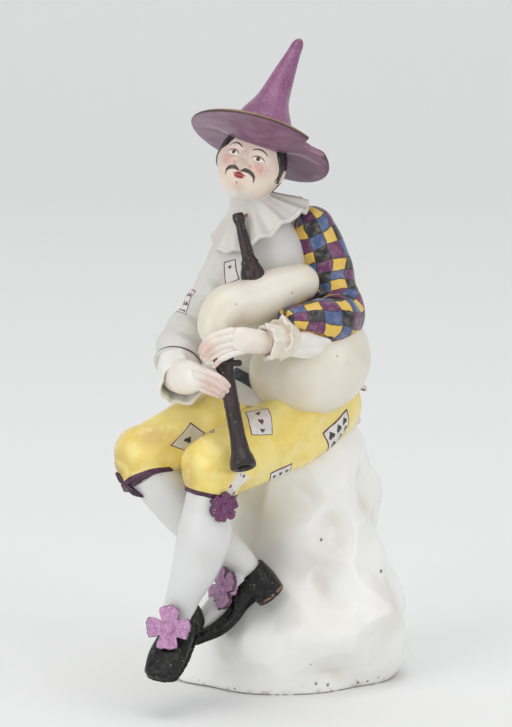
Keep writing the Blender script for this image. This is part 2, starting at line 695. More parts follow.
def stripe(name, points, width, target, paint, facing=(0, -1, 0.2), columns=90, rows=5):
    """A painted line: a ribbon along a smooth curve through the points, narrowing at both ends."""
    shares = np.linspace(0, 1, columns)
    tangent = spline(points, shares + 1e-3) - spline(points, shares - 1e-3)
    side = np.cross(unit(*facing), tangent)
    side /= np.linalg.norm(side, axis=1, keepdims=True)
    taper = np.minimum(1, 5 * np.minimum(shares, 1 - shares) + 0.25)
    across = np.linspace(-0.5, 0.5, rows)[:, None, None] * width
    return on_skin(name, spline(points, shares) + across * side * taper[:, None], target, paint)


def thin_paint(name, dark, pale, grain=0.9, detail=3, full=0.62, gloss=0.45, shine=0.1, height=0.05):
    """Overglaze colour: thin, uneven and a little rough, with clouds of a grain in mm."""
    paint = Paint(name, gloss, shine)
    patchy = paint.noise(grain, detail).rising(0.4, full)
    paint.colour = paint.mix(patchy, dark, pale)
    return paint.finish(height, patchy)


purple_line = thin_paint("purple line", enamel(62, 26, 50), enamel(92, 44, 76))
gold_line = thin_paint("brown gold line", enamel(120, 72, 32), enamel(186, 128, 62))
sculpt("right_hem", [cuff(*right_knee, first=0.89, swell=0.1)], purple_line)
sculpt("left_hem", [cuff(*left_knee, first=0.86, swell=0.1)], purple_line)

black_ink, red_ink = enamel(34, 28, 30), enamel(112, 30, 44)
card_white = (0.82, 0.79, 0.75, 1)
card_outline = 0.35


def card_paint(name, width, height, columns, rows, upper=black_ink, lower=black_ink,
               spade=False, pip=0.62, ground=card_white):
    """A playing card: a cream ground inside an uneven dark outline, with a small pip in the middle of
    each of its cells. A pip is two round lobes and a lozenge. A spade stands the other way up."""
    paint = Paint(name, 0.4, 0.1)
    u, v = paint.chart()
    wobble = (paint.noise(1.6, 1) - 0.5) * 0.5
    edge = (u.least(1 - u) * width).least(v.least(1 - v) * height) + wobble * 0.4

    def in_cell(share, length, cells):
        """How far a place lies from the middle of its cell, in mm."""
        inside = length - 2 * card_outline
        return ((share * length - card_outline) / inside * cells % 1 - 0.5) * (inside / cells)

    x = in_cell(u, width, columns) + wobble * 0.15
    y = in_cell(v, height, rows) * (-1 if spade else 1) + wobble * 0.1
    lobe = (((abs(x) - 0.5 * pip) ** 2 + (y - 0.3 * pip) ** 2) ** 0.5) / (0.58 * pip)
    lozenge = (abs(x) + abs(y) * 0.85) / pip + (y / pip).rising(0.15, 0.4) * 2
    inked = 1 - lobe.least(lozenge).rising(0.88, 1.08)
    paint.colour = paint.mix(paint.noise(3, 2).rising(0.35, 0.7), ground, enamel(216, 210, 206))
    paint.brush(inked * 0.95, paint.mix(v.rising(0.45, 0.62), lower, upper))
    paint.brush(1 - edge.rising(0.14, 0.28), enamel(96, 30, 78))
    return paint.finish(0.05, inked)


card_three_hearts = card_paint("three hearts", 4.9, 5.9, 1, 3, red_ink, red_ink, pip=0.5)
card_six_spades = card_paint("six spades", 5.6, 4.0, 3, 2, spade=True, pip=0.56)
card_one_spade = card_paint("one spade", 4.4, 5.4, 1, 1, spade=True, pip=0.72, ground=enamel(206, 202, 184))
cards = [
    ("card_three_hearts", [(-8.8, -28.3, 59.3), (-4.2, -25.2, 59), (-4.9, -20, 63.6), (-9.9, -19.8, 62.9)],
     card_three_hearts, 0.15),
    ("card_six_spades", [(7.5, -11.7, 53.1), (12, -7.6, 57.9), (11.6, -7.4, 61.3), (6.8, -15, 57.5)],
     card_six_spades, 0.08),
    ("card_one_spade", [(-25.6, -25, 56.7), (-21.8, -22.7, 54.9), (-18.4, -20, 58.5), (-21.6, -20.9, 60.9)],
     card_one_spade, 0.08),
    ("card_under_knee", [(-5.6, -20.4, 48.3), (-0.9, -19, 50.2), (-0.2, -20.9, 52.4), (-4.7, -24.6, 51)],
     card_paint("under knee", 5.4, 3.6, 3, 2, pip=0.4), 0.08),
    ("card_on_knee", [(-18.6, -28.6, 59.2), (-16.3, -29, 59.6), (-16.2, -27, 60.6), (-18.1, -26, 60.4)],
     card_paint("on knee", 2.6, 2.2, 2, 1, pip=0.5), 0.08),
]
for name, corners, paint, sag in cards:
    patch(name, corners, breeches, paint, sag)
spared_paint = glazed("spared white", enamel(240, 238, 232), enamel(230, 226, 216), enamel(220, 214, 200))
spared_paint.brush(spared_paint.specks(1.5, 0.5, 0.6), enamel(112, 52, 88))
spared_paint.finish(0.15)
patch("spared_patch", [(-13.6, -34.6, 48.3), (-11.2, -32.4, 46.9), (-9.4, -30.1, 51.4), (-11.2, -34, 53.2)],
      breeches, spared_paint)

# The coat.
# A plain white coat with loose skirts, spread over the seat behind, and a wide right sleeve. It is
# glazed white, with a card painted on the breast and one on the sleeve, a dark blue lozenge on the
# front, a purple line at the cuff and a gold one at the corner of the skirts.

coat_body = limb(
    [(2.5, 3, 58), (-0.5, 2, 68), (-3.6, 0.4, 77), (-6.2, -1.5, 86), (-6.4, -1.8, 93.5), (-7.2, -2.2, 98.6),
     (-8, -3, 103), (-8.6, -3.8, 106.4), (-8.6, -4.6, 110)],
    [(12, 10.5), (12.2, 10.4), (10.4, 9.2), (10.2, 8.8), (10, 7.8), (8.6, 6.6), (5.6, 5.2), (4.6, 4.6),
     (4.6, 4.6)],
    (0.96, 0.05, 0.27), bulge=(0, 0), around=110, rows=120,
    folds=lambda angle, share: 0.012 * np.sin(5 * angle + 6 * share) * rise(3 - 4 * share))
coat_skirts = limb(
    [(-1.5, 2.5, 71), (0.8, 4.6, 66), (2.4, 7.6, 60), (3, 9.4, 54)],
    [(10, 8.6), (11, 9.4), (11.8, 9.2), (12.2, 8.8)], (1, 0, 0.1), bulge=(0, 0), around=140,
    folds=lambda angle, share: 0.05 * share * np.cos(9 * angle + 0.5 * np.sin(2 * angle)))
coat_corner = limb([(9.5, 6, 66.6), (13.4, 6.8, 64.6), (16.4, 7.2, 63.2)],
                   [(2.2, 1.3), (1.8, 1.1), (0.9, 0.7)], (0.1, 1, 0.3))
right_sleeve = limb(
    [(-11.8, -1, 94.6), (-15, -1.6, 87), (-18.8, -4, 80.6), (-22.8, -9, 76), (-24.4, -15, 72.2)],
    [(5.4, 5.4), (5.6, 5.6), (5.6, 5.8), (5.8, 5.4), (5, 5)], (1, 0.2, 0.4), bulge=(1, 0), rows=120,
    folds=lambda angle, share: 0.05 * np.sin(34 * share + 2 * angle) * rise(share * 3))
coat_front = limb([(-9, -3.5, 69), (-9, -8.4, 67.2), (-9.2, -12, 65), (-9.4, -13.4, 63.4)],
                  [(4.6, 1.4), (4.8, 1.1), (4.9, 0.8), (4.2, 0.5)], (1, 0, 0.05), bulge=(0, 1))
coat_paint = glazed(
    "coat glaze", enamel(221, 220, 217), enamel(212, 209, 202), enamel(184, 178, 164), pits=0.07)
past_cuff = coat_paint.along((-24.2, -14.4, 72.6), (-0.22, -0.82, -0.52))
by_cuff = coat_paint.near((-24.2, -14.4, 74), (10, 9, 9)).rising(0, 0.2)
coat_paint.brush((1 - abs(past_cuff).rising(0.12, 0.3)) * by_cuff * 0.9, enamel(72, 30, 58))
dull_places = [((-19, -8, 79.5), (8, 9, 9), 0.6), ((-15, -6, 87), (5, 8, 9), 0.6)]
coat_paint.cloud(dull_places, enamel(186, 180, 166))
coat_paint.finish(0.2)
coat = sculpt("coat", [coat_body, coat_skirts, coat_front, coat_corner, right_sleeve], coat_paint, voxel=0.42)
patch("card_breast", [(-13.7, -7, 88.5), (-11, -9.2, 90), (-11.8, -8, 94.2), (-14.3, -6.4, 93.3)], coat,
      card_paint("breast card", 3.0, 5.0, 1, 2, red_ink, enamel(236, 232, 226), pip=0.4))
patch("card_sleeve", [(-23.9, -6.5, 80.8), (-22.4, -9.2, 81), (-20.5, -5, 86.9), (-21.6, -2, 86.6)], coat,
      card_paint("sleeve card", 3.2, 6.6, 2, 3, spade=True, pip=0.5))
stripe("coat_corner_edge", [(13.2, 5.2, 63.9), (14.9, 5.8, 63.4), (16.7, 6.4, 62.8)], 0.5, coat, gold_line)
lozenge_paint = thin_paint(
    "dark blue lozenge", enamel(40, 46, 58), enamel(70, 80, 92), grain=1.5, full=0.65, gloss=0.4)
patch("lozenge", [(-12.3, -7.6, 67.6), (-8.4, -11.4, 66.4), (-8.3, -7.8, 68.6), (-12.3, -3.6, 70.2)], coat,
      lozenge_paint)

# The ruff.
# A collar of thin paste, pinched into waves round the neck while soft. It lies on the shoulders and
# has slumped a little in the fire, so no two of its folds are alike. A gold button shows below it.

ruff_diameter = 21.8
ruff_thickness = 1.6
ruff_pleats = 11
neck_radius = 4.6


def ruff_skin(columns=520):
    """From the neck out under the ruff, round its hem, and back over it. The waves grow with the way out,
    and the angle that they follow is itself waved, which makes some folds wide and some narrow."""
    centre = np.array([-7.1, -3.6, 102.9])
    axis = unit(-0.37, -0.2, 0.91)
    right = square_to(axis, unit(0.93, 0.05, 0.39))
    back = np.cross(axis, right)
    out = np.linspace(0, 1, 40)
    turn = np.linspace(-0.9, 0.9, 9) * np.pi / 2
    half = ruff_thickness / 2
    step = np.concatenate([out, np.ones(9), out[::-1]])[:, None]
    side = np.concatenate([-np.ones(40), np.sin(turn), np.ones(40)])[:, None]
    rounding = np.concatenate([np.zeros(40), np.cos(turn), np.zeros(40)])[:, None]
    angle = ring_angles(columns)
    bent = angle + 0.07 * np.sin(3 * angle + 1) + 0.05 * np.sin(5 * angle)
    wave = (np.cos(ruff_pleats * bent) + 0.2 * np.cos(2 * ruff_pleats * bent + 1.2 * np.sin(angle))) / 1.15
    wave = wave * (0.75 + 0.35 * np.sin(4 * angle + 2))
    short = 1 - 0.24 * np.exp(-((np.angle(np.exp(1j * (angle + 1.05))) / 0.75) ** 2))
    inner = neck_radius - 1.4
    thin = half * (1 - 0.2 * step)
    radius = inner + (ruff_diameter / 2 - inner) * step * short + 0.3 * wave * step + rounding * thin * 0.8
    height = 4.4 - 6.7 * (step * short) ** 0.9 + 0.75 * wave * step**0.9 + side * thin
    rings = reached(centre, (radius * np.cos(angle), right), (radius * np.sin(angle), back), (height, axis))
    return skin(rings)


ruff_paint = glazed(
    "ruff glaze", enamel(222, 220, 215), enamel(214, 210, 202), enamel(180, 172, 154)).finish(0.15)
ruff = sculpt("ruff", [ruff_skin()], ruff_paint)
stripe("ruff_edge", [(-2.4, 1.8, 107.2), (0.2, 1.4, 106.4), (2.2, 0.6, 105.2)], 0.3, ruff, purple_line,
       facing=(0, -0.3, 1))

button_paint = thin_paint("button gold", enamel(196, 120, 52), enamel(150, 64, 44),
                          grain=0.5, detail=2, full=0.6, gloss=0.4, shine=0.2, height=0.08)
neck_button = turned((-9.4, -8.9, 103.7), (0, -0.95, 0.3), [(-2.4, 0.4), (0.1, 0.55), (0.5, 0.4)])
sculpt("neck_button", [neck_button], button_paint)

# The checked sleeve.
# The left arm has a sleeve of coloured squares, outlined first and then filled with enamels by hand. It
# is cut open below the elbow, and a brown gold line edges the cut and the armhole.

check_size = 3.15
checks_round = 10


def sleeve_folds(angle, share):
    """Soft folds that wind round the sleeve between the shoulder and the cut."""
    return 0.04 * np.sin(30 * share + 2 * angle) * rise(share * 3) * (1 - rise((share - 0.7) * 4))


left_sleeve_skin = limb(
    [(4.6, 0, 99.6), (6.8, -0.6, 94.4), (8.4, -2, 88.4), (10, -5.6, 82.8), (9.4, -10.8, 80.7),
     (5.7, -16.1, 82.1), (-1.4, -20.4, 83.1)],
    [(5, 5.3), (5.5, 5.6), (5.6, 5.7), (5.7, 5.8), (6.2, 5.4), (4.8, 4.7), (2.1, 2.9)], (0.55, 0.1, 0.8),
    bulge=(1, 0), around=150, rows=180, folds=sleeve_folds)
check_paint = Paint("checked enamel", 0.34, 0.2)
round_share, along_mm = check_paint.chart()
round_place = round_share * checks_round + (check_paint.noise(2.6, 1) - 0.5) * 0.45
along_place = along_mm / check_size + (check_paint.noise(3.1, 1) - 0.5) * 0.5
check_black, check_yellow = enamel(30, 29, 31), enamel(230, 192, 84)
check_purple, check_blue = enamel(108, 46, 96), enamel(70, 92, 140)
check_order = [check_black, check_yellow, check_purple, check_blue,
               check_black, check_yellow, check_blue, check_purple]
check_number = (round_place.floor() + along_place.floor() * 2) % len(check_order)
check_stops = [(k / len(check_order), colour) for k, colour in enumerate(check_order)]
check_share = (check_number + 0.5) / len(check_order)
check_paint.colour = check_paint.node(
    "ShaderNodeValToRGB", {"steps": "CONSTANT", "stops": check_stops}, {0: check_share})
thin_enamel = check_paint.noise(1.5, 4).rising(0.44, 0.7)
check_paint.brush(thin_enamel * 0.2, enamel(206, 198, 186))
from_side, from_end = round_place % 1, along_place % 1
check_edges = from_side.least(1 - from_side).least(from_end.least(1 - from_end))
check_lines = 1 - check_edges.rising(0.02, 0.06)
check_paint.brush(check_lines * 0.75, enamel(44, 34, 36))
check_x = check_paint.along((0, 0, 98.5), (1, 0, 0))
check_z = check_paint.along((0, 0, 98.5), (0, 0, 1))
armhole = check_x - 0.7 - 0.04 * check_z.most(0) ** 2 - 0.047 * (-check_z).most(0) ** 2
above_roll = check_z.rising(-12, -11)
check_paint.brush((1 - armhole.rising(-0.12, 0.04)) * above_roll, enamel(228, 226, 219))
check_paint.brush((1 - abs(armhole).rising(0.16, 0.3)) * above_roll * 0.9, enamel(92, 54, 38))
check_paint.brush((1 - abs(armhole - 0.34).rising(0.08, 0.22)) * above_roll * 0.85, enamel(196, 142, 70))
check_paint.finish(0.09, thin_enamel + check_lines * -0.8)
left_sleeve = sculpt("left_sleeve", [left_sleeve_skin], check_paint)
cut_edge = [(-2.4, -21.6, 84.6), (-0.2, -22.6, 81.8), (2.8, -21.2, 81), (5.6, -20.2, 80.2),
            (7.2, -19.6, 79.2), (7.8, -18.6, 77.6)]
lower_edge = [(7.8, -18.8, 77.7), (10.6, -16.6, 78.2), (13.4, -13, 79.4)]
stripe("sleeve_cut_edge", cut_edge, 0.8, left_sleeve, gold_line)
stripe("sleeve_lower_edge", lower_edge, 0.7, left_sleeve, gold_line)

# The shirt sleeve and the frills.
# White shirt cloth shows in the sleeve's cut, and a gathered frill stands round each wrist. The right
# frill is an open bell, and the hand comes out of its shaded hollow.


def frill_skin(start, end, start_radius, end_radius, waves, ruffle=0.035, hollow=0.2, columns=200):
    """A bell of cloth: along its outer side to the wavy hem, round the hem, and back inside it. Each ring
    is an oval whose radius is waved round, more so towards the hem."""
    start, end = np.array(start, float), np.array(end, float)
    share = np.concatenate([np.linspace(0, 1, 40), [1.03, 1.04, 1.03], np.linspace(1, hollow, 26)])[:, None]
    inset = np.concatenate([np.zeros(40), [0.12, 0.42, 0.7], np.linspace(0.84, 1.1, 26)])[:, None]
    axis = unit(*(end - start))
    sideways = square_to(axis, unit(0, 0, 1))
    across = np.cross(axis, sideways)
    angle = ring_angles(columns)
    bent = angle + 0.12 * np.sin(2 * angle + 1) + 0.06 * np.sin(5 * angle)
    waved = 1 + ruffle * (0.4 + share) * np.cos(waves * bent) + 0.03 * share * np.cos(3 * bent + 1)
    radius = (start_radius + (end_radius - start_radius) * share) * waved - inset
    length = np.linalg.norm(end - start)
    lift = share * length + 0.3 * share * np.cos(3 * bent + 0.8)
    rings = reached(start, (lift, axis), (radius * np.cos(angle), sideways),
                    (0.9 * radius * np.sin(angle), across))
    return skin(rings)


def shirt_folds(angle, share):
    """Folds along the sleeve, deeper towards the wrist."""
    return 0.06 * np.sin(4 * angle) * (0.4 + share) + 0.03 * np.sin(9 * angle + 3 * share)


shirt_skin = limb(
    [(10.2, -9.4, 77.6), (5.5, -16, 77.8), (-1, -22.4, 78.6)], [(4, 3.8), (3.9, 3.6), (2.8, 2.7)],
    (0, 0, 1), bulge=(0, 0), around=110, folds=shirt_folds)
frill_paint = glazed(
    "frill glaze", enamel(242, 241, 237), enamel(235, 231, 222), enamel(200, 189, 166), cloud=6).finish(0.15)
worn_paint = glazed(
    "worn frill", enamel(236, 230, 219), enamel(226, 216, 198), enamel(196, 178, 148), pits=0.1, cloud=3)
worn_specks = worn_paint.specks(0.9, 0.16, 0.3) + worn_paint.noise(0.8, 3).rising(0.56, 0.72) * 0.3
worn_paint.brush(worn_specks * 0.5, enamel(146, 118, 84))
worn_paint.finish(0.2)
sculpt("left_shirt_sleeve", [shirt_skin], frill_paint)
right_frill_skin = frill_skin((-24.4, -14, 72.4), (-23.2, -21, 69.4), 4.7, 5.5, waves=7)
left_frill_skins = [
    frill_skin((-0.2, -21.4, 78.9), (-2.8, -23.9, 79.7), 3.5, 4.7, waves=7, ruffle=0.07, hollow=0.8),
    frill_skin((-2.2, -23.1, 78.9), (-5.6, -25.9, 79.1), 3.4, 4, waves=8, ruffle=0.06, hollow=0.7)]
sculpt("right_frill", [right_frill_skin], frill_paint)
sculpt("left_frill", left_frill_skins, worn_paint, voxel=0.24, smoothing=7)

# The hands.
# Both hands play, with the fingers laid over the pipe. They were modelled apart and stuck on with slip,
# and the finger ends are stippled with a pink enamel.

finger_diameter = 1.55


def finger_skin(knuckle, middle, joint, tip, thickness=1):
    """A finger over four points, swollen at its joints and thin at its end."""
    radius = finger_diameter / 2 * thickness
    girth = [(share * radius, share * radius * 0.92) for share in (1.1, 0.96, 1.02, 0.88, 0.9, 0.66)]
    return limb([knuckle, middle, joint, tip], girth, (0, 0, 1), around=36, rows=44)


def palm_skin(route, girth):
    """A flat palm, with its rounded end at the knuckles."""
    return limb(route, girth, (0.05, 0.2, 1), bulge=(0, 1), rows=50)


right_palm = palm_skin([(-24.5, -18.5, 71), (-22.8, -23.3, 71.3), (-21, -26, 71.6), (-19.3, -27.6, 71.9)],
                       [(3.8, 3.4), (3.8, 2.9), (3.5, 2.1), (2.7, 1.3)])
right_fingers = [
    finger_skin((-20.2, -27.8, 74), (-17, -30.4, 73.4), (-14.8, -31.8, 72.3), (-13.2, -31.7, 70.8), 1.05),
    finger_skin((-20, -28, 72.6), (-17, -30.8, 71.9), (-15, -32.2, 70.9), (-13.5, -32, 69.7), 1.1),
    finger_skin((-19.9, -27.8, 71.1), (-17.2, -30.4, 70.4), (-15.4, -31.8, 69.7), (-14, -31.7, 68.7), 1.05),
    finger_skin((-19.8, -27.4, 69.9), (-17.4, -29.6, 69.2), (-15.9, -30.8, 68.8), (-14.7, -30.9, 68.2), 0.9)]
right_thumb = finger_skin(
    (-18.6, -24.5, 73.4), (-16.6, -26, 73.6), (-15, -26.9, 73.2), (-13, -27.4, 72.4), 1.1)
left_palm = palm_skin([(-5, -24.4, 78.8), (-7.9, -26.2, 79.4), (-10.8, -27.6, 79.9), (-13, -28.2, 80)],
                      [(2.5, 2), (2.7, 2), (2.8, 1.7), (2.4, 1.2)])
left_fingers = [
    finger_skin((-12.6, -28.2, 82), (-16.4, -30.2, 81.2), (-18.4, -30.9, 79.6), (-19.2, -30.6, 77.8)),
    finger_skin((-12.6, -28.6, 80.7), (-16.2, -30.8, 80), (-18.1, -31.5, 78.5), (-18.8, -31.2, 76.9), 1.05),
    finger_skin((-12.3, -28.6, 79.4), (-15.6, -30.6, 78.8), (-17.5, -31.3, 77.6), (-18.3, -31, 76.3)),
    finger_skin((-12, -28.4, 78.2), (-14.8, -30.2, 77.7), (-16.6, -30.9, 76.8), (-17.6, -30.7, 75.9), 0.9)]
left_thumb = finger_skin(
    (-9.6, -27.6, 77.7), (-13.2, -30.2, 77), (-15.3, -31.4, 76), (-16.3, -31.4, 74.9), 0.85)


def flesh(name, blushes, pale, deep, pooled):
    """Ivory glaze, stippled pink round some places in mm."""
    paint = glazed(name, pale, deep, pooled, pits=0.04, cloud=5, pools=(0.01, 0.2))
    for centre, radii in blushes:
        stipple = 0.72 + 0.28 * paint.noise(0.5, 2).rising(0.4, 0.64)
        paint.brush(paint.near(centre, radii).rising(0, 0.9) * stipple * 0.68, enamel(206, 158, 146))
    return paint


finger_ends = [
    ((-15.5, -32, 70.5), (7.5, 7, 5.5)),
    ((-19, -31.5, 78.6), (5, 5, 4)),
    ((-15.5, -31, 75.6), (3, 3, 1.6)),
]
hand_paint = flesh(
    "hand flesh", finger_ends, enamel(240, 234, 226), enamel(234, 224, 212), enamel(196, 162, 144))
hand_paint.finish(0.12)
sculpt("right_hand", [right_palm, *right_fingers, right_thumb], hand_paint, voxel=0.16, smoothing=3)
sculpt("left_hand", [left_palm, *left_fingers, left_thumb], hand_paint, voxel=0.16, smoothing=3)

# The bag.
# The bagpipe's bag: a fat roll that lies across the breast and turns down to the pipe, and a round lobe
# that the left elbow presses. It is glazed ivory, grey where the glaze is thick in the folds.

bag_width = 26
bag_height = 23.4
bag_roll_diameter = 9.8
roll_middle = np.array([-8.5, -16.6, 86.4])
chanter_top = np.array([-14.7, -26, 77.2])


def lobe_skin(rows=110, columns=170):
    """A round lobe: at lift l and angle a its reach is cos l, less a few broad creases, and it is wider
    below than above."""
    lift = np.radians(np.linspace(-88.5, 88.5, rows))[:, None]
    angle = ring_angles(columns)
    level = np.sin(lift)
    crease = (0.03 * np.cos(3 * angle + 1) * (1 + level)
              + 0.012 * np.cos(7 * angle + 2 * level) * rise(1.5 * level))
    size = np.cos(lift) * (1 - 0.05 * level) * (1 - crease)
    x = np.cos(angle) * size + 0.16 * level
    y = np.sin(angle) * size * 0.8 + 0.06 * level
    rings = np.stack([x * bag_width / 2, y * bag_width / 2, (level + 0 * x) * bag_height / 2], -1)
    return skin(rings + np.array([4.4, -9.6, 71.7]))


roll_radius = bag_roll_diameter / 2
roll_skin = limb(
    [(2, -11.2, 89.6), (-3, -13.6, 88.2), roll_middle, (-13.6, -20, 85.6), (-16.2, -23.4, 82.4),
     chanter_top + np.array([-0.7, 0.4, 1.4])],
    round_girth(*(roll_radius * share for share in (0.84, 1, 1.02, 0.97, 0.78, 0.54))), (0.2, 0.1, 1),
    bulge=(1, 0), folds=lambda angle, share: 0.015 * np.sin(3 * angle + 9 * share) * rise(3 * share))
bag_paint = glazed(
    "bag glaze", enamel(234, 228, 215), enamel(227, 219, 202), enamel(190, 181, 162), pits=0.1, cloud=9)
thick_glaze = [((-3, -19, 68), (11, 8, 9), 0.35)]
bag_pinholes = [
    (-17, -22.8, 86.8), (-11.7, -23.6, 87), (0.2, -17.3, 88.3), (9.8, -18.2, 74.9), (15.5, -12.6, 73.9)]
bag_paint.cloud(thick_glaze, enamel(196, 190, 176), bag_paint.noise(5, 2).rising(0.3, 0.7))
bag_paint.prick(bag_pinholes, (0.42, 3, 0.5), (0.2, 0.9), 0.6, enamel(104, 86, 68))
bag_paint.finish(0.2)
sculpt("bag", [roll_skin, lobe_skin()], bag_paint, voxel=0.42)

# The pipes.
# A short blowpipe stands on the roll, and the chanter hangs from its turned down end. Both are turned
# shapes, brushed with a dark purple brown in long strokes. The chanter's bell is bored.

blowpipe_length = 14.5
chanter_length = 26.5
blowpipe_skin = turned(
    roll_middle + np.array([0.5, 1, roll_radius * 0.98]), (-3.4, 4.6, 13.2),
    [(-1, 2.34), (0.6, 2.6), (1.6, 2.5), (3.2, 1.84), (3.7, 1.95), (4.1, 1.6), (4.9, 1.38), (7.4, 1.26),
     (9.4, 1.15), (11.6, 1.0), (12.2, 1.05), (13, 1.3), (13.7, 1.34),
     (blowpipe_length, 1.15), (blowpipe_length, 0.5), (13.6, 0.4)],
    width=0.02, count=220)
chanter_skin = turned(
    chanter_top, (4.4, -12.6, -21.4),
    [(0, 1.87), (0.6, 2.2), (2.9, 2.2), (3.3, 1.9), (3.6, 2.0), (4.2, 1.79), (8, 1.66), (11.9, 1.6),
     (12.3, 1.72), (12.8, 1.6), (19.1, 1.66), (22.8, 2.0), (24.2, 2.5), (25.5, 2.8), (26.3, 2.78),
     (chanter_length, 2.5), (chanter_length, 1.5), (25.8, 1.3), (23.5, 0.7)],
    width=0.02, count=260)
key_skin = turned((-14, -29, 75.2), (0.93, 0.35, -0.05), [(-1, 0.7), (3.3, 0.7), (3.7, 0.45)], around=32)
pipe_paint = Paint("pipe brown", 0.42, 0.1)
pipe_turn, pipe_along = pipe_paint.chart()
pipe_angle = pipe_turn * (2 * np.pi)
stroke_width = 2.6
stroke_place = pipe_paint.node("ShaderNodeCombineXYZ", {}, {
    0: pipe_angle.reckon("COSINE", pipe_angle) * stroke_width,
    1: pipe_angle.reckon("SINE", pipe_angle) * stroke_width,
    2: pipe_along * 0.12})
stroke = pipe_paint.node("ShaderNodeTexNoise", {}, {"Vector": stroke_place, "Scale": 1.6, "Detail": 3.0})
pipe_paint.colour = pipe_paint.mix(stroke.rising(0.4, 0.62), enamel(26, 16, 17), enamel(58, 38, 40))
rubbed = pipe_paint.noise(1.2, 4).rising(0.62, 0.74)
pipe_paint.brush(rubbed * 0.25, enamel(124, 94, 88))
pipe_paint.brush(pipe_paint.specks(0.9, 0.14, 0.2) * 0.6, enamel(196, 180, 172))
pipe_paint.finish(0.12, stroke + 0.4 * pipe_paint.noise(0.7))
for name, pipe_skin in [("blowpipe", blowpipe_skin), ("chanter", chanter_skin), ("pipe_key", key_skin)]:
    sculpt(name, [pipe_skin], pipe_paint)

# The ribbons.
# Lilac rosettes on both shoes, a smaller one in dark purple at the left knee, and a bow on the outside
# of the right knee. Each was pressed flat in lobes, stuck on, and edged with a darker line.


def rosette_skins(centre, axis, diameter, lobes, turn, cut, half_thickness=0.62, columns=300, rows=60):
    """A lobed disc with soft rounded edges, and its knot. Its radius dips between the lobes in a smooth
    step. Its face is dished, with a crease down the middle of each lobe."""
    centre, axis = np.array(centre, float), unit(*axis)
    sideways = square_to(axis, unit(1, 0.1, 0))
    across = np.cross(axis, sideways)
    angle = ring_angles(columns)
    tilt = np.linspace(-0.98, 0.98, rows)[:, None] * np.pi / 2
    across_lobe = np.abs((lobes * (angle - turn) / np.pi + 1) % 2 - 1)
    middle = 1 - across_lobe
    outline = diameter / 2 * (1 - 0.04 * across_lobe**2 - cut * rise((across_lobe - 0.58) / 0.4)
                              + 0.03 * np.sin(5 * angle + turn) + 0.025 * np.sin(9 * angle + 2)
                              + 0.012 * np.sin(23 * angle + 3 * np.sin(2 * angle)))
    reach = np.sign(np.cos(tilt)) * np.abs(np.cos(tilt)) ** 0.5
    front = rise(4 * np.sin(tilt))
    face = (0.5 * reach**2 - 0.35 * bump(reach - 0.62, 0, 0.3, 1) * (1 - middle**8)
            + 0.22 * np.cos(5 * lobes * (angle - turn)) * reach * 0.35)
    height = half_thickness * np.sign(np.sin(tilt)) * np.abs(np.sin(tilt)) ** 0.6 + front * face * 0.6
    radius = outline * reach
    rings = reached(centre, (radius * np.cos(angle), sideways), (radius * np.sin(angle), across),
                    (height, axis))
    knot = turned(centre, axis, [(-3, diameter * 0.17), (0.6, diameter * 0.16), (1.35, diameter * 0.11)],
                  ridges=lambda a, s: 0.07 * np.cos(7 * a), width=0.16, around=60)
    return [skin(rings), knot]


def ribbon_paint(name, centre, radius, pale, dark, edge):
    """Ribbon enamel: pale in the middle, darker in the creases and outwards, with a line at the edge."""
    paint = glazed(name, pale, pale, dark, cloud=2.4)
    streaks = paint.noise(0.9, 3).rising(0.42, 0.66)
    mottled = paint.noise(0.35, 2).rising(0.5, 0.64)
    outwards = 1 - paint.near(centre, (2 * radius,) * 3).rising(0.1, 0.5)
    _, from_back = paint.chart()
    rim = 1 - (from_back + (paint.noise(1.2, 2) - 0.5) * 0.08).rising(0.6, 0.66)
    paint.brush(streaks * 0.4, dark)
    paint.brush(mottled * 0.35, dark)
    paint.brush(paint.specks(0.7, 0.15, 0.35) * 0.6, enamel(232, 214, 228))
    paint.brush(outwards * 0.6, dark)
    paint.brush(rim * 0.85, edge)
    return paint.finish(0.12, paint.waves + streaks * 0.4)


lilac, lilac_edge = enamel(196, 148, 188), enamel(132, 72, 124)
dark_ribbon, dark_ribbon_edge = enamel(118, 58, 106), enamel(76, 32, 68)
ribbon_line = enamel(50, 20, 44)
rosettes = [
    ("left_shoe_rosette", (-26, -33.2, 18.9), (-0.1, -0.9, 0.3), 9.6, 4, -0.1, 0.42, lilac, lilac_edge),
    ("right_shoe_rosette", (-14.6, -20.7, 24.7), (-0.8, -0.52, 0.27), 9.6, 4, 0.1, 0.42, lilac, lilac_edge),
    ("knee_rosette", (-14.4, -34.8, 45.4), (0.35, -0.93, 0), 6.4, 6, 0.3, 0.2, dark_ribbon, dark_ribbon_edge),
]
for name, centre, axis, diameter, lobes, turn, cut, pale, dark in rosettes:
    sculpt(name, rosette_skins(centre, axis, diameter, lobes, turn, cut),
           ribbon_paint(name.replace("_", " "), centre, diameter / 2, pale, dark, ribbon_line))
bow_loops = [
    ([(-37.2, -22.5, 50.2), (-36.2, -23.4, 49), (-35, -24, 48)], [(0.4, 0.35), (0.75, 0.5), (0.4, 0.35)]),
    ([(-35.2, -23.8, 48.2), (-33.6, -24.6, 46.7), (-31.6, -24.4, 45.5)],
     [(0.4, 0.35), (0.8, 0.55), (0.3, 0.25)]),
]
bow_skins = [limb(route, girth, (0, 0, 1), around=40, rows=30) for route, girth in bow_loops]
bow_paint = ribbon_paint("bow ribbon", (-35, -24, 47), 4, enamel(76, 34, 68), enamel(58, 26, 52), ribbon_line)
sculpt("garter_bow", bow_skins, bow_paint, voxel=0.2, smoothing=4)

# The head.
# A round head that leans back to the figure's left. The face is a plain calm one on the usual
# proportions, with the eyes half way up. Hair, brows, moustache and cheeks are painted over the glaze.

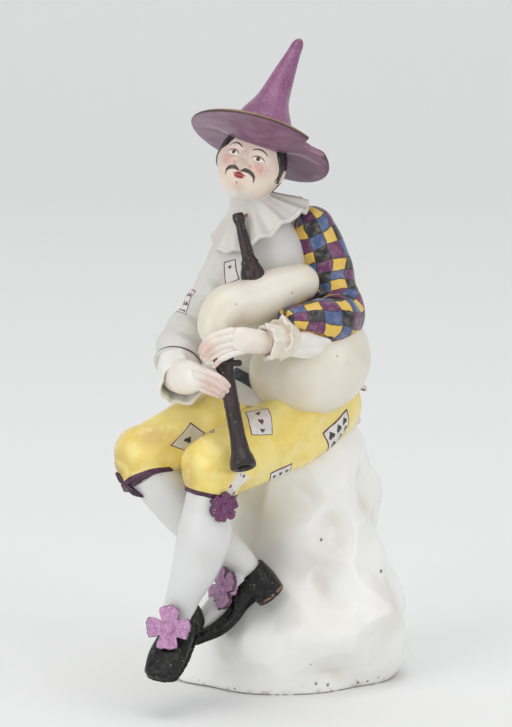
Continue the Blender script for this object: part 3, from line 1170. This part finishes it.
head_height = 16.6
head_width = 14.4
head_centre = np.array([-8.5, -5.07, 114.35])
head_up = unit(0.33, 0.28, 0.9)
head_front = square_to(head_up, unit(-0.2, -0.93, 0.33))
head_left = np.cross(head_up, head_front)


def pair(x, y, offset, height, spread_x, spread_y):
    """The same soft hill on both sides of the face."""
    return bump(np.abs(x) - offset, y - height, spread_x, spread_y)


def stroke_mark(x, y, points, widths):
    """A brush stroke, 1 on its line and 0 past its width. The width changes along it."""
    shares = np.linspace(0, 1, 50)
    line = spline(points, shares)
    width = np.interp(shares, np.linspace(0, 1, len(widths)), widths)
    mark = np.zeros(np.broadcast(x, y).shape)
    for (line_x, line_y), w in zip(line, width):
        mark = np.maximum(mark, 1 - np.hypot(x - line_x, y - line_y) / w)
    return mark


def face_relief(x, y):
    """How far the face stands out of a plain egg, in head heights. x runs from ear to ear, -1 to 1, and
    y from the chin to the crown, -1 to 1. Each feature is a sum of soft hills and hollows."""
    nose = (0.06 * bump(x, y + 0.03, 0.1, 0.2) + 0.1 * bump(x, y + 0.21, 0.13, 0.11)
            + 0.036 * pair(x, y, 0.14, -0.255, 0.065, 0.055) - 0.024 * pair(x, y, 0.25, -0.2, 0.06, 0.08))
    brows = 0.02 * pair(x, y, 0.36, 0.22, 0.25, 0.07)
    eyes = (-0.034 * pair(x, y, 0.38, 0.05, 0.2, 0.12) + 0.026 * pair(x, y, 0.39, 0.04, 0.15, 0.07)
            - 0.006 * pair(x, y, 0.39, 0.125, 0.15, 0.016) - 0.005 * pair(x, y, 0.39, -0.045, 0.14, 0.018))
    lips = (0.022 * bump(x, y + 0.43, 0.2, 0.04) + 0.024 * bump(x, y + 0.53, 0.16, 0.045)
            - 0.014 * bump(x, y + 0.478, 0.19, 0.014) - 0.008 * bump(x, y + 0.36, 0.035, 0.05))
    chin = 0.045 * bump(x, y + 0.8, 0.26, 0.15) - 0.014 * bump(x, y + 0.63, 0.28, 0.05)
    cheeks = 0.016 * pair(x, y, 0.55, -0.2, 0.25, 0.25)
    return nose + brows + eyes + lips + chin + cheeks


def head_skin(rows=260, columns=320):
    """Rings of the egg from under the chin up into the hat, with more points at the front. The jaw is
    narrower than the brow, and hair stands out round the sides and back. It also gives what is painted,
    each point's share of hair, ink, the fold under the eye, lips, rouge, eye white and iris."""
    lift = np.radians(np.linspace(-84, 50, rows))[:, None]
    turn = ring_angles(columns)
    bunched = turn - 0.28 * np.sin(2 * turn) * np.where(np.cos(turn) > 0, 1, 0.4)
    x, ahead, y = np.sin(bunched), np.cos(bunched), np.sin(lift) + 0 * turn
    aside = np.degrees(np.arccos(np.clip(ahead, -1, 1)))
    jaw = 1 - 0.1 * rise(-y * 1.3)
    taper = np.cos(lift) ** np.where(lift < 0, 0.74, 1)
    front = np.clip(ahead, 0, 1) + 0 * y
    ear_way = np.hypot((aside - 97) / 13, (y + 0.07) / 0.2)
    ear = 0.06 * np.exp(-(((ear_way - 0.7) / 0.33) ** 2)) + 0.02 * bump(ear_way, 0, 0.5, 1)
    edge = 50 + 22 * rise((0.5 - y) / 0.7) - 19 * (x < 0) * rise((y + 0.1) / 0.3)
    low = np.where(aside > 112, -0.5, -0.3) + 0.05 * np.sin(aside * 0.9) + 0.03 * np.sin(aside * 2.3 + x)
    hair = rise((aside - edge) / 5) * rise((y - low) / 0.05) * rise((ear_way - 1.0) / 0.2 + (y > 0.08))
    locks = hair * (0.035 + 0.03 * np.abs(np.sin(5.5 * bunched + 3 * y))
                    + 0.008 * np.sin(38 * bunched + 9 * y))
    side = np.abs(x)
    facing = front > 0.1
    moustache = stroke_mark(
        side, y, [(0.05, -0.39), (0.18, -0.34), (0.36, -0.36), (0.5, -0.44), (0.56, -0.56)],
        [0.03, 0.065, 0.065, 0.045, 0.012]) * facing
    brow = stroke_mark(
        side, y, [(0.17, 0.215), (0.34, 0.29), (0.52, 0.27), (0.62, 0.19)],
        [0.016, 0.028, 0.022, 0.01]) * facing
    lid = stroke_mark(
        side, y, [(0.21, 0.03), (0.3, 0.095), (0.41, 0.115), (0.52, 0.085), (0.59, 0.035)],
        [0.012, 0.018, 0.02, 0.018, 0.01]) * facing
    under_lid = stroke_mark(side, y, [(0.23, 0.01), (0.38, -0.045), (0.56, 0.01)], [0.006, 0.01, 0.006])
    almond = 1 - np.hypot((side - 0.395) / 0.185, (y - 0.035 - 0.02 * (side - 0.395)) / 0.08)
    iris = 1 - np.hypot((side - 0.39) / 0.068, (y - 0.045) / 0.068)
    upper_lip = 1 - np.hypot(x / 0.3, (y + 0.475 - 0.015 * np.cos(18 * x)) / 0.055)
    lower_lip = 1 - np.hypot(x / 0.22, (y + 0.53) / 0.055)
    lips = np.maximum(upper_lip, lower_lip) - 0.6 * bump(x, y + 0.492, 0.3, 0.008)
    chin_mark = stroke_mark(x, y, [(-0.02, -0.665), (0, -0.7), (0.005, -0.735)], [0.018, 0.022, 0.01])
    rouge = (pair(x, y, 0.56, -0.2, 0.24, 0.2) + 0.5 * bump(x, y + 0.22, 0.13, 0.1)
             + 0.45 * bump(x, y + 0.76, 0.3, 0.14) + 0.25 * pair(x, y, 0.38, 0.15, 0.2, 0.06)) * front
    relief = face_relief(x, y) + 0.016 * rise(2 * moustache) + 0.006 * rise(2 * brow)
    swell = 1 + locks + ear * (aside > 60)
    depth_share = 0.44
    rings = reached(head_centre, (y * head_height / 2, head_up),
                    (x * taper * head_width / 2 * jaw * swell, head_left),
                    (ahead * taper * head_height * depth_share * swell + head_height * relief * front,
                     head_front))
    ink = np.maximum.reduce([moustache, brow, lid * 0.9, chin_mark])
    marks = {"hair": hair, "ink": ink, "fold": under_lid, "lips": lips * front, "rouge": rouge,
             "white": almond * front, "iris": iris * front}
    return skin(rings), marks


def mark_rings(piece, name, values):
    """Keeps a number at each point of a skin's rings, and 0 at the middles of its ends."""
    mark_points(piece.data, name, np.append(values.ravel(), [0, 0]))


head_shape, head_marks = head_skin()
head_paint = flesh("face flesh", [], enamel(236, 221, 207), enamel(229, 208, 192), enamel(208, 174, 154))
stipple = 0.55 + 0.5 * head_paint.noise(0.4, 2).rising(0.4, 0.62)
eye_inside = head_paint.attribute("white").rising(0.02, 0.12)
strands = head_paint.noise(0.8, 3, stretch=(1, 1, 0.3)).rising(0.4, 0.65)
ink_colour = head_paint.mix(strands, enamel(24, 23, 25), enamel(58, 55, 56))
head_paint.brush(head_paint.attribute("rouge") * stipple * 0.8, enamel(202, 118, 106))
head_paint.brush(1 - head_paint.along(head_centre, head_up).rising(-8.2, -6.2), enamel(234, 228, 220))
head_paint.brush(head_paint.attribute("lips").rising(0.05, 0.3), enamel(158, 46, 50))
head_paint.brush(head_paint.attribute("white").rising(0.02, 0.18), enamel(240, 238, 234))
head_paint.brush(head_paint.attribute("iris").rising(0.05, 0.2) * eye_inside, enamel(112, 82, 66))
head_paint.brush(head_paint.attribute("iris").rising(0.5, 0.65) * eye_inside, enamel(36, 28, 28))
head_paint.brush(head_paint.attribute("fold").rising(0.1, 0.6) * 0.6, enamel(150, 96, 84))
head_paint.brush(head_paint.attribute("hair").rising(0.3, 0.6), ink_colour)
head_paint.brush(head_paint.attribute("ink").rising(0.08, 0.4) * 0.95, ink_colour)
head_paint.finish(0.1)
head = sculpt("head", [head_shape], head_paint)
for name, values in head_marks.items():
    mark_rings(head, name, values)

# The hat.
# A tall pointed felt hat with a wide brim, set back on the head. It is enamelled magenta purple, duller
# below the brim, with a worn gold line on the rim. A piece of the rim is lost, and the tip is mended.

brim_diameter = 31.6
brim_thickness = 1.3
cone_height = 25
tip_diameter = 2.9


def hat_skin(columns=340, rows=290):
    """From the middle of the brim's underside out to the rim, and up over the brim and the cone to the
    tip. Rings droop at two sides with the cube of the radius. Where the rim is lost, the ring's radius
    stops at the near side of a small circle, made uneven by sines."""
    centre = head_centre + 0.338 * head_height * head_up + np.array([0.5, 0.14, 0])
    axis = unit(0.318, 0.477, 0.82)
    sideways = square_to(axis, unit(1, 0, 0))
    back = np.cross(axis, sideways)
    brim, half, tip, cone = brim_diameter / 2, brim_thickness / 2, tip_diameter / 2, cone_height
    profile = [(-half, 0.02), (-half, 0.4 * brim), (-half, 0.7 * brim), (-half * 0.8, 0.93 * brim),
               (-half * 0.5, 0.98 * brim), (0, 0.997 * brim), (half * 0.5, 0.985 * brim), (half, 0.93 * brim),
               (half * 1.4, 0.74 * brim), (half * 3, 0.5 * brim), (cone * 0.22, 0.37 * brim),
               (cone * 0.38, 0.245 * brim), (cone * 0.6, 0.175 * brim), (cone * 0.85, tip * 1.15),
               (cone * 0.96, tip * 0.86), (cone * 0.995, tip * 0.4), (cone, 0.02)]
    path = spline(profile, np.linspace(0, 1, rows))
    height, radius = path[:, :1], path[:, 1:]
    along = walked(path)
    angle = ring_angles(columns)
    chip_angle, chip_radius, chip_way = -0.59, 3.3, brim + 0.2
    off = np.arctan2(np.sin(angle - chip_angle), np.cos(angle - chip_angle))
    span = chip_radius**2 - (chip_way * np.sin(off)) ** 2
    jag = 0.18 * np.sin(40 * angle) + 0.1 * np.sin(97 * angle + 1)
    near_side = chip_way * np.cos(off) - np.sqrt(np.maximum(span, 0)) + jag
    far_out, brim_top = 99, 2
    limit = np.where((span > 0) & (np.abs(off) < 1), near_side, far_out)
    lost = (radius > limit) & (height < brim_top)
    thinned = (height > -0.3) & (height < brim_top) & (radius < limit + 0.01 + 9 * lost)
    worn_thin = 0.75 * (1 - rise((limit - radius) / 2.6)) * thinned
    height = height * (1 - worn_thin) - 0.3 * worn_thin
    radius = np.where(height < brim_top, np.minimum(radius, limit), radius)
    before = np.maximum(0, -np.sin(angle)) ** 0.7
    belly = (3.4 * before * rise((0.98 - radius / brim) / 0.6) * rise(radius / (0.3 * brim))
             * (along[:, None] < brim))
    lowered = (0.5 + 0.5 * np.cos(angle - 0.4)) ** 3 * 2 + (0.5 + 0.5 * np.cos(angle + 2.2)) ** 2 * 1.6
    droop = (radius / brim) ** 3 * lowered
    lean = -0.45 * np.sin(np.maximum(0, height) / cone * 4)
    steep = 1 - 0.13 * np.maximum(0, np.cos(angle)) * rise((height - half) / (3 * half))
    dimple = 1 + 0.012 * np.sin(3 * angle + 0.5 * height) * (height > 1)
    rings = reached(centre, (height - droop - belly, axis),
                    (radius * np.cos(angle) * steep * dimple + lean, sideways),
                    (radius * np.sin(angle) * dimple, back))
    return skin(rings, along), lost


hat_shape, lost_rim = hat_skin()
rim_at = brim_diameter / 2
hat_paint = Paint("hat enamel")
hat_paint.waved(pits=0.05)
_, hat_along = hat_paint.chart()
grain = hat_paint.noise(0.6, 3).rising(0.4, 0.66)
cloudy = hat_paint.noise(5, 3).rising(0.36, 0.66)
hat_paint.colour = hat_paint.mix(cloudy, enamel(144, 86, 128), enamel(124, 66, 110))
hat_paint.brush(grain * 0.3, enamel(178, 130, 166))
hat_paint.brush(hat_paint.specks(0.8, 0.13, 0.3) * 0.6, enamel(222, 196, 216))
below = 1 - hat_along.rising(rim_at - 0.6, rim_at + 0.2)
brush_marks = hat_paint.noise(2.2, 4, stretch=(0.35, 1, 1)).rising(0.4, 0.64)
hat_paint.brush(below, hat_paint.mix(brush_marks, enamel(136, 100, 124), enamel(118, 78, 106)))
rim_line = 1 - abs(hat_along - (rim_at + 0.35)).rising(0.4, 0.75)
gold_left = 1 - abs(hat_along - (rim_at + 0.45)).rising(0.12, 0.34)
worn_line = rim_line * hat_paint.noise(0.9, 4).rising(0.3, 0.44)
hat_paint.brush(rim_line * 0.95, enamel(52, 36, 34))
hat_paint.brush(worn_line * gold_left * 0.85, enamel(168, 130, 70))
hat_paint.brush(hat_paint.attribute("lost").rising(0.3, 0.7) * 0.5, enamel(168, 132, 156))
tip_height = hat_along - (rim_at + 32.5) + (hat_paint.noise(2, 3) - 0.5) * 1.6
mend = 1 - abs(tip_height).rising(0.05, 0.22)
hat_paint.brush(mend * 0.7, enamel(176, 110, 96))
hat_paint.brush(tip_height.rising(0, 0.4) * 0.45, enamel(150, 104, 122))
hat_paint.finish(0.14, hat_paint.waves - mend * 0.6 + grain * 0.15)
hat = sculpt("hat", [hat_shape], hat_paint)
mark_rings(hat, "lost", lost_rim)

# The studio.
# The figure stands on a sweep of pale grey paper, lit softly from both sides and above.


def sweep_sheet(width=6.0, near=-2.6, wall=1.5, bend=0.7, height=3.4, steps=40):
    """Paper that lies flat, bends up in a quarter circle, and rises as a wall, in metres."""
    turn = np.linspace(0, np.pi / 2, steps)
    depth = np.concatenate([[near], wall - bend + bend * np.sin(turn), [wall]])
    lift = np.concatenate([[0], bend - bend * np.cos(turn), [height]])
    points = np.stack([np.stack([side * width / 2 + 0 * depth, depth, lift], 1) for side in (-1, 1)], 1)
    row, column = corners_of(len(depth), 2, closed=False)
    mesh = bpy.data.meshes.new("paper")
    mesh.from_pydata(points.reshape(-1, 3).tolist(), [], (row * 2 + column)[:, ::-1].tolist())
    return smooth_shaded(mesh)


paper_paint = Paint("paper grey", gloss=0.9, shine=0)
paper_paint.shader.inputs["Base Color"].default_value = enamel(243, 244, 244)
paper_paint.shader.inputs["Specular IOR Level"].default_value = 0.1
paper = placed("paper", sweep_sheet())
paper.data.materials.append(paper_paint.material)


def lamp(name, place, aim, size, power):
    """A square soft box in metres, turned to face a point."""
    light = bpy.data.lights.new(name, "AREA")
    light.shape, light.size, light.energy = "SQUARE", size, power
    holder = placed(name, light)
    holder.location = place
    holder.rotation_mode = "QUATERNION"
    holder.rotation_quaternion = (Vector(aim) - Vector(place)).to_track_quat("-Z", "Y")


figure_middle = (0, 0, 0.07)
lamp("left_box", (-0.9, -0.9, 0.55), figure_middle, 0.9, 5.0)
lamp("right_box", (0.95, -0.8, 0.6), figure_middle, 0.8, 2.7)
lamp("top_box", (0, -0.1, 1.3), figure_middle, 1.0, 4.4)
room = bpy.data.worlds.new("room")
room.use_nodes = True
room_light = room.node_tree.nodes["Background"]
room_light.inputs["Color"].default_value = (0.98, 0.985, 0.985, 1)
room_light.inputs["Strength"].default_value = 0.58
bpy.context.scene.world = room
bpy.context.scene.view_settings.view_transform = "Standard"

# The camera looks down by 10 degrees from about a metre away.
lens = bpy.data.cameras.new("camera")
lens.sensor_fit = "VERTICAL"
lens.sensor_height = 24
lens.lens = 150.05
lens.clip_start = 0.01
camera = placed("camera", lens)
camera.location = (-0.00748, -0.97283, 0.24157)
camera.rotation_euler = (np.radians(80), 0, 0)
bpy.context.scene.camera = camera
